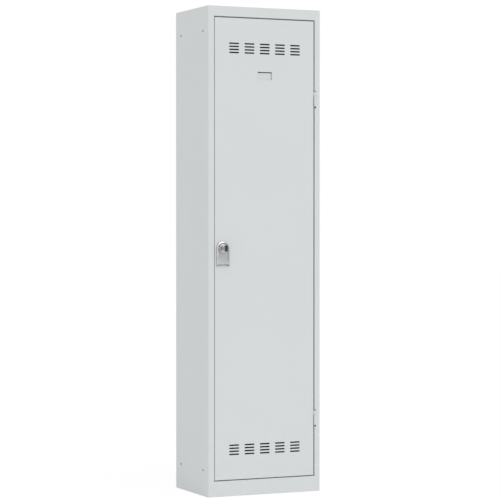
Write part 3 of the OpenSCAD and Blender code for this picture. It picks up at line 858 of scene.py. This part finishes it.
# The rim's faces get their material by which way they point: faces that face up or sideways get the brighter
# polished zinc, partly a polished finish and partly a painted highlight, and faces that face down keep the darker
# cast zinc as painted shade.
for face in pull.data.polygons:
    here = face.center - LOCK_AT
    on_rim = math.hypot(here.x, max(0.0, here.z)) > dish_r
    if on_rim and face.normal.y < FACES_BACK and face.normal.z > SHADED_FACING_DOWN:
        face.material_index = 1
print(sum(face.material_index for face in pull.data.polygons), "faces of the rim are polished")

# %% [markdown]
# ## The lock
#
# A cam lock is a turned body with two flats, a thread for its nut and a flange in
# front. The thread is hardly seen, but an open door shows it. A screw modifier would
# need the flats cut afterwards. Here each ring of points follows the helix, and a point
# that passes a flat is simply held at it.

# %% Lock body
FLANGE_EDGE = 1.0
FLANGE_T = 3.0
FLANGE_BEVEL_D = 1.1
FLANGE_BEVEL_W = 2.2
BODY_R = 11.0
BORE_R = 7.56
BACK_LAND = 1.2
THREAD_PITCH = 1.0
THREAD_DEPTH = 0.45
THREAD_STEPS = 6
THREAD_START = 0.4
THREAD_STOP = 0.1
HALF_TURN = 0.5
LOCK_FLATS = 19.0

low, high = lock_box("lock_barrel")
flange_r = high.x / MM
flange_front = high.z / MM
body_back = low.z / MM
flange_back = flange_front - FLANGE_T


def thread_ring(z, steps=TURN_STEPS):
    """A ring of the lock's body at a height, on the helix and held at the flats."""
    ring = []
    for i in range(steps):
        a = 2 * math.pi * i / steps
        wave = abs((z / THREAD_PITCH + i / steps) % 1.0 - HALF_TURN) * 2
        r = BODY_R - THREAD_DEPTH * wave
        x = max(-LOCK_FLATS / 2, min(LOCK_FLATS / 2, r * math.cos(a)))
        ring.append((x, r * math.sin(a), z))
    return ring


def plain_ring(r, z, steps=TURN_STEPS):
    """A round ring of points at a height."""
    return [(*point, z) for point in circle(r, steps=steps)]


body_l = flange_back - body_back
thread_l = body_l - THREAD_START - THREAD_STOP
count = int(body_l / THREAD_PITCH * THREAD_STEPS)
heights = [body_back + THREAD_START + thread_l * i / count for i in range(count + 1)]
front = eased([
    (BODY_R, flange_back),
    (flange_r, flange_back),
    (flange_r, flange_front - FLANGE_BEVEL_D),
    (flange_r - FLANGE_BEVEL_W, flange_front),
    (BORE_R + EASE, flange_front),
    (BORE_R, flange_front - EASE),
    (BORE_R, body_back),
    (BORE_R + BACK_LAND, body_back),
], FLANGE_EDGE)
rings = [thread_ring(z) for z in heights] + [plain_ring(r, z) for r, z in front]
as_piece("lock_body", loft(at_lock(rings), closed=True), nickel, "lock_barrel")


# %% Nut
NUT_ACROSS = 27.0
NUT_DROP = 0.9
HEX_SIDES = 6
HEX_STEPS = 96


def hex_ring(across, r_most, z):
    """A ring round a hexagon whose corners are turned off at a radius."""
    ring = []
    side = 2 * math.pi / HEX_SIDES
    for i in range(HEX_STEPS):
        a = 2 * math.pi * i / HEX_STEPS
        from_flat = a % side - side / 2
        r = min(across / 2 / math.cos(from_flat), r_most)
        ring.append((r * math.cos(a), r * math.sin(a), z))
    return ring


def hex_rings(across, z0, z1, drop, steps=5):
    """Rings from z0 to z1 with the corners turned off at both ends."""
    near = across / 2
    far = near / math.cos(math.pi / HEX_SIDES)
    rise = [(near + (far - near) * i / steps, drop * i / steps) for i in range(steps + 1)]
    levels = [(r, z0 + up) for r, up in rise] + [(r, z1 - up) for r, up in reversed(rise)]
    return [hex_ring(across, r, z) for r, z in levels]


low, high = lock_box("lock_nut")
nut_rings = hex_rings(NUT_ACROSS, low.z / MM, high.z / MM, NUT_DROP)
for z, inward in ((high.z / MM, -1), (low.z / MM, 1)):
    edge = [(BODY_R + EASE, z), (BODY_R, z + inward * EASE)]
    nut_rings += [plain_ring(r, level, HEX_STEPS) for r, level in edge[::-inward]]
nut = loft(at_lock(nut_rings), closed=True)
as_piece("lock_nut_plated", nut, plated, "lock_nut")

# %% Pull screw
PAN_EDGE = 0.7
PAN_DRAFT = 0.3
PAN_CROWN = 0.25
SHANK_R = 2.0
POINT_D = 0.6
CLEAR = 1.0
CROSS_ARM = 2.1
CROSS_W = 0.75
CROSS_DEPTH = 1.5

low, high = lock_box("pull_screw")
screw_at = LOCK @ Matrix.Translation(((low.x + high.x) / 2, (low.y + high.y) / 2, 0))
head_r = (high.x - low.x) / 2 / MM
tip, crown = high.z / MM, low.z / MM
pan = eased([
    (AXIS, crown),
    (head_r - PAN_DRAFT, crown + PAN_CROWN),
    (head_r, -SHEET),
    (SHANK_R, -SHEET),
    (SHANK_R, tip - POINT_D),
    (SHANK_R - POINT_D, tip),
    (AXIS, tip),
], PAN_EDGE)
w, arm = CROSS_W / 2, CROSS_ARM
quarter = [(w, w), (w, arm), (-w, arm)]
cross = []
for turn in range(4):
    for x, y in quarter:
        for _ in range(turn):
            x, y = -y, x
        cross.append((x, y))
recess = plate([cross], crown - CLEAR, crown + CROSS_DEPTH, CUT_EDGE, screw_at)
screw = cut(turned(pan, screw_at), recess)
as_piece("pull_screw_pan_head", screw, plated, "pull_screw")

# %% [markdown]
# ## The plug and the key
#
# The plug turns in the lock's body. Its keyway is a plain slot with a ward at the side,
# cut as a boolean, because it is the one feature that a spun profile can't have. The
# key's blade and head are flat parts, drawn as outlines. Blender rounds the edges of a
# filled curve evenly, holes included, which a bevelled mesh of such an outline does not.

# %% Plug
TANG_R = 5.0
TANG_L = 2.0
TANG_FLATS = 7.0
TANG_EDGE = 0.3
KEYWAY_W = 2.4
KEYWAY_H = 8.6
KEYWAY_DEPTH = 18.0
WARD_W = 0.6
WARD_LOW = 0.6
WARD_HIGH = 2.0

low, high = lock_box("lock_plug")
plug_r = high.x / MM
plug_front, plug_back = high.z / MM, low.z / MM
barrel_z = plug_back + TANG_L
plug_line = [
    (AXIS, plug_back),
    (TANG_R - TANG_EDGE, plug_back),
    (TANG_R, plug_back + TANG_EDGE),
    (TANG_R, barrel_z),
    (plug_r, barrel_z),
    (plug_r, plug_front - EASE),
    (plug_r - EASE, plug_front),
    (AXIS, plug_front),
]
w, h = KEYWAY_W / 2, KEYWAY_H / 2
keyway = plate([[
    (-w, -h), (w, -h), (w, WARD_LOW), (w + WARD_W, WARD_LOW),
    (w + WARD_W, WARD_HIGH), (w, WARD_HIGH), (w, h), (-w, h),
]], plug_front - KEYWAY_DEPTH, plug_front + CLEAR, CUT_EDGE, LOCK)
plug = cut(turned(plug_line, LOCK), keyway)
as_piece("lock_plug_turned", plug, nickel, "lock_plug")

# %% Key blade
BITTING = (1.2, 2.2, 1.6, 2.6, 1.4)
BITTING_PITCH = 3.0
BITTING_START = 2.1
SHOULDER = 1.0
SHOULDER_GAP = 0.1
TOOTH_GAP = 0.1
TIP_EASE = 1.5
BLADE_EDGE = 0.15
GROOVE_LOW = 0.7
GROOVE_HIGH = 1.9
GROOVE_D = 0.5
GROOVE_STOP = 12.0

KEY = LOCK @ Matrix(((0, 0, 1, 0), (1, 0, 0, 0), (0, 1, 0, 0), (0, 0, 0, 1)))
low, high = lock_box("key_blade")
blade_t = (high.x - low.x) / MM
shoulder_h = (high.y - low.y) / MM
half = shoulder_h / 2 - SHOULDER
tip_z, blade_end = low.z / MM, high.z / MM
shoulder_z = plug_front + SHOULDER_GAP
blade_line = [(half + SHOULDER, blade_end), (-half - SHOULDER, blade_end)]
blade_line += [(-half - SHOULDER, shoulder_z), (-half, shoulder_z)]
for i in reversed(range(len(BITTING))):
    middle = tip_z + BITTING_START + BITTING_PITCH * i
    side = min(BITTING[i], BITTING_PITCH / 2 - TOOTH_GAP)
    edge = -half + BITTING[i] - side
    blade_line += [(edge, middle + side), (-half + BITTING[i], middle), (edge, middle - side)]
blade_line += [(half - TIP_EASE, tip_z), (half, tip_z + TIP_EASE)]
blade_line += [(half, shoulder_z), (half + SHOULDER, shoulder_z)]
blade = plate([blade_line], -blade_t / 2, blade_t / 2, BLADE_EDGE, KEY)
groove_start, groove_end = tip_z - CLEAR, blade_end - GROOVE_STOP
groove_line = [
    (GROOVE_LOW, groove_start), (GROOVE_HIGH, groove_start),
    (GROOVE_HIGH, groove_end), (GROOVE_LOW, groove_end),
]
groove = plate([groove_line], blade_t / 2 - GROOVE_D, blade_t, CUT_EDGE, KEY)
as_piece("key_blade_milled", cut(blade, groove), nickel, "key_blade")

# %% Key head
HEAD_CORNER = 4.4
NOTCH_D = 6.0
NOTCH_SLIP = 1.0
HOLE_R = 2.5
HOLE_INSET = 6.0
HEAD_EDGE = 1.0
PANEL_INSET = 3.0
PANEL_BELOW = 2.0
PANEL_CORNER = 1.5
PANEL_EDGE = 0.2
PANEL_D = 0.5
PANEL_Y = 4.0

low, high = lock_box("key_head")
head_t = (high.x - low.x) / MM
half_h = (high.y - low.y) / 2 / MM
head_z0, head_z1 = low.z / MM, high.z / MM
notch = shoulder_h / 2 + NOTCH_SLIP
corners = [(half_h, head_z0), (half_h, head_z1), (-half_h, head_z1), (-half_h, head_z0)]
outer = eased(corners, HEAD_CORNER, closed=True, steps=6)
notch_z = head_z0 + NOTCH_D
inner = [(-notch, head_z0), (-notch, notch_z), (notch, notch_z), (notch, head_z0)]
ring_hole = circle(HOLE_R, 0, head_z1 - HOLE_INSET)
head = plate([outer + inner, ring_hole], -head_t / 2, head_t / 2, HEAD_EDGE, KEY)
grips = []
grip_z0, grip_z1 = notch_z + PANEL_BELOW, head_z1 - PANEL_INSET
for side in (-1, 1):
    face_x = side * head_t / 2
    for up in (-1, 1):
        y0, y1 = up * PANEL_Y, up * (half_h - PANEL_INSET)
        grip = [(y0, grip_z0), (y1, grip_z0), (y1, grip_z1), (y0, grip_z1)]
        grip = eased(grip, PANEL_CORNER, closed=True)
        grips.append(plate([grip], face_x - PANEL_D, face_x + PANEL_D, PANEL_EDGE, KEY))
as_piece("key_head_moulded", cut(head, *grips), black_plastic, "key_head")

# %% Cam and its screw
CAM_W = 14.0
CAM_CORNER = 2.0
CAM_EDGE = 0.3
HUB_STEPS = 26
WASHER_T = 0.8
WASHER_EDGE = 0.2
SCREW_ACROSS = 8.0
SCREW_DROP = 0.5

low, high = lock_box("lock_cam")
reach, hub_r, w = -low.y / MM, high.y / MM, CAM_W / 2
start = -math.acos(w / hub_r)
sweep = math.pi - 2 * start
turns = [start + sweep * i / HUB_STEPS for i in range(HUB_STEPS + 1)]
cam_line = [(hub_r * math.cos(a), hub_r * math.sin(a)) for a in turns]
cam_line += [(-w, CAM_CORNER - reach), (CAM_CORNER - w, -reach)]
cam_line += [(w - CAM_CORNER, -reach), (w, CAM_CORNER - reach)]
flat = TANG_FLATS / 2
flatted = [(max(-flat, min(flat, x)), y) for x, y in circle(TANG_R)]
cam = plate([cam_line, flatted], low.z / MM, high.z / MM, CAM_EDGE, LOCK)
as_piece("lock_cam_stamped", cam, plated, "lock_cam")

low, high = lock_box("cam_screw")
washer_back = plug_back - WASHER_T
washer = plate([circle(high.x / MM)], washer_back, plug_back, WASHER_EDGE, LOCK)
screw_rings = [plain_ring(AXIS, low.z / MM, HEX_STEPS)]
screw_rings += hex_rings(SCREW_ACROSS, low.z / MM, washer_back, SCREW_DROP)
screw_rings += [plain_ring(SHANK_R, z, HEX_STEPS) for z in (washer_back, high.z / MM)]
as_piece("cam_screw_plated", joined(washer, loft(at_lock(screw_rings))), plated, "cam_screw")

# %% [markdown]
# ## The hinges
#
# Each hinge is a pressed leaf on the frame, a pressed leaf on the door and a pin. The
# leaves are welded on before painting, so the coat rounds their edges: a soft copy of
# the CAD form again. The pins stay bare and have domed ends.

# %% Hinges
DOME_R = 0.6

for end in ("upper", "lower"):
    for side in ("frame", "door"):
        node = f"{end}_hinge_{side}_leaf"
        leaf = cast(node, FINE_GRID, passes=3, keep=KEPT_THIRD)
        as_piece(f"{node}_painted", leaf, paint, node, crease=CAST_CREASE)
    node = f"{end}_hinge_pin"
    low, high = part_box(node)
    pin_at = Matrix.Translation(((low.x + high.x) / 2, (low.y + high.y) / 2, low.z))
    pin_r = (high.x - low.x) / 2 / MM
    pin_l = (high.z - low.z) / MM
    one_end = [(AXIS, 0), (pin_r - DOME_R, 0), (pin_r, DOME_R)]
    dome = one_end + [(r, pin_l - z) for r, z in reversed(one_end)]
    as_piece(f"{node}_domed", turned(eased(dome, DOME_R), pin_at), plated, node)

# %% [markdown]
# ## Rivets, buffers, hooks and rail
#
# These are the small pieces that the sheets carry. The rivets are blind rivets: a
# shallow dome outside, with the hole that its drawn-out nail leaves, and a bulb inside.
# The buffers are rubber studs with a rounded rim. The hooks are castings that slide on
# a drawn steel tube. Under light a tube shows every facet, so it is spun with many.

# %% Rivets
HEAD_T = 0.8
NAIL_R = 0.9
NAIL_D = 1.2
HEAD_RIM_T = 0.1
HEAD_RIM_W = 1.2
SHAFT_R = 2.4
TAIL_R = 3.2
TAIL_T = 1.4
TAIL_EASE = 0.3

rivets = []
for low, high in solids("shelf_rivets"):
    outward = 1 if low.x > 0 else -1
    long = (high.x - low.x) / MM
    head_r = (high.y - low.y) / 2 / MM
    outside = high.x if outward > 0 else low.x
    turn = Matrix.Rotation(math.radians(90 * outward), 4, "Y")
    at = Matrix.Translation((outside, (low.y + high.y) / 2, (low.z + high.z) / 2)) @ turn
    line = [
        (AXIS, -NAIL_D),
        (NAIL_R, -NAIL_D),
        (NAIL_R, 0),
        (head_r - HEAD_RIM_W, 0),
        (head_r, HEAD_RIM_T - HEAD_T),
        (head_r, -HEAD_T),
        (SHAFT_R, -HEAD_T),
        (SHAFT_R, TAIL_T - long),
        (TAIL_R, TAIL_T - long),
        (TAIL_R, TAIL_EASE - long),
        (TAIL_R / 2, -long),
        (AXIS, -long),
    ]
    rivets.append(turned(eased(line, TAIL_EASE), at, ROUND_STEPS))
as_piece("blind_rivets", joined(*rivets), paint, "shelf_rivets")

# %% Buffers
STUD_DRAFT = 0.3
STUD_EASE = 0.7

studs = []
for low, high in solids("door_buffers"):
    middle = ((low.x + high.x) / 2, high.y, (low.z + high.z) / 2)
    at = Matrix.Translation(middle) @ Matrix.Rotation(math.radians(90), 4, "X")
    stud_r = (high.x - low.x) / 2 / MM
    stud_t = (high.y - low.y) / MM
    line = [(AXIS, 0), (stud_r, 0), (stud_r - STUD_DRAFT, stud_t), (AXIS, stud_t)]
    studs.append(turned(eased(line, STUD_EASE), at, ROUND_STEPS))
as_piece("rubber_buffers", joined(*studs), black_rubber, "door_buffers")

# %% Hooks and brackets
for side in ("left", "right"):
    hook = f"coat_hook_{side}"
    casting = cast(hook, GRID, passes=5)
    as_piece(f"{hook}_cast", casting, plated, hook, crease=CAST_CREASE)
brackets = cast("rail_brackets", COARSE_GRID, passes=2, keep=KEPT_THIRD)
as_piece("rail_brackets_painted", brackets, paint, "rail_brackets", crease=CAST_CREASE)

# %% Coat rail
RAIL_WALL = 1.2
RAIL_EDGE = 0.3
RAIL_STEPS = 96

low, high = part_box("coat_rail")
rail_r = (high.z - low.z) / 2 / MM
rail_l = (high.x - low.x) / MM
left_end = (low.x, (low.y + high.y) / 2, (low.z + high.z) / 2)
at = Matrix.Translation(left_end) @ Matrix.Rotation(math.radians(90), 4, "Y")
bore = rail_r - RAIL_WALL
tube = eased([(rail_r, 0), (rail_r, rail_l), (bore, rail_l), (bore, 0)], RAIL_EDGE, closed=True)
as_piece("coat_rail_tube", turned(tube, at, RAIL_STEPS, closed=True), drawn, "coat_rail")

# %% [markdown]
# ## Spot welds
#
# No screw holds the sheets together: rows of spot welds do, and each leaves a shallow
# ring under the paint. The stiffener and the card window's pocket are welded to the
# door, the back panel to the flanges of the sides, and the roof to the side walls. The
# rings are too small for the CAD model, and a bump in the material would vanish in the
# exported mesh. So each is a low turned ring that rides on its sheet's body.

# %% Spot welds
WELD_R = 3.0
WELD_DIP_R = 1.4
WELD_CREST_R = 2.2
WELD_DIP = 0.05
WELD_CREST = 0.22
WELD_FOOT = -0.1
WELD_LINE = [
    (AXIS, WELD_DIP), (WELD_DIP_R, WELD_DIP), (WELD_CREST_R, WELD_CREST),
    (WELD_R, WELD_FOOT), (AXIS, WELD_FOOT),
]
WELD_EASE = 0.4
WELD_STEPS = 24


def spot_weld(x, y, z, angle=90, axis="X"):
    """A weld's ring, which faces the front unless it is turned another way."""
    at = Matrix.Translation((x, y, z)) @ Matrix.Rotation(math.radians(angle), 4, axis)
    return turned(eased(WELD_LINE, WELD_EASE), at, WELD_STEPS)


def spread(low, high, step, inset):
    """Even places between two ends, about a step apart, the first and last an inset from them."""
    gaps = max(1, round((high - low - 2 * inset) / step))
    return [low + inset + (high - low - 2 * inset) * i / gaps for i in range(gaps + 1)]


# %% Welds of the door
STIFFENER_BRIM = 12 * MM
POCKET_BRIM = 8 * MM
DOOR_WELD_STEP = 90 * MM
POCKET_WELD_INSET = 6 * MM

low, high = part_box("door_stiffener")
brim_back = low.y + SHEET * MM
door_welds = [
    spot_weld(x, brim_back, z, -90)
    for x in (low.x + STIFFENER_BRIM / 2, high.x - STIFFENER_BRIM / 2)
    for z in spread(low.z, high.z, DOOR_WELD_STEP, DOOR_WELD_STEP / 2)
]
low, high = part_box("card_holder")
door_welds += [
    spot_weld(x, brim_back, z, -90)
    for x in (low.x + POCKET_BRIM / 2, high.x - POCKET_BRIM / 2)
    for z in (low.z + POCKET_WELD_INSET, high.z - POCKET_WELD_INSET)
]
as_piece("spot_welds", joined(*door_welds), paint, body="door")

# %% Welds of the cabinet
REAR_FLANGE = 15 * MM
BACK_WELD_STEP = 120 * MM
ROOF_WELD_STEP = 90 * MM
WELD_INSET = 40 * MM

side_low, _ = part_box("left_side_panel")
_, side_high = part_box("right_side_panel")
rows = (side_low.x + REAR_FLANGE / 2, side_high.x - REAR_FLANGE / 2)
back_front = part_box("back_panel")[0].y
floor_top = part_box("floor_tray")[1].z
shelf_low, shelf_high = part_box("hat_shelf")
roof_low, roof_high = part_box("roof_tray")
cabinet_welds = [
    spot_weld(x, back_front, z)
    for x in rows
    for start, end in ((floor_top, shelf_low.z), (shelf_high.z, roof_low.z))
    for z in spread(start, end, BACK_WELD_STEP, WELD_INSET)
]
cabinet_welds += [
    spot_weld(x, y, (roof_low.z + roof_high.z) / 2, angle, "Y")
    for x, angle in ((roof_low.x + SHEET * MM, 90), (roof_high.x - SHEET * MM, -90))
    for y in spread(roof_low.y, roof_high.y, ROOF_WELD_STEP, WELD_INSET)
]
as_piece("cabinet_spot_welds", joined(*cabinet_welds), paint, body="cabinet")

# %% [markdown]
# ## The size, and the end
#
# The dressed locker must not grow out of the CAD model. The box of the dressed scene is printed.

# %% Finish
low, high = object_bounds()
print("scene box", [round(v, 4) for v in (*low, *high)])
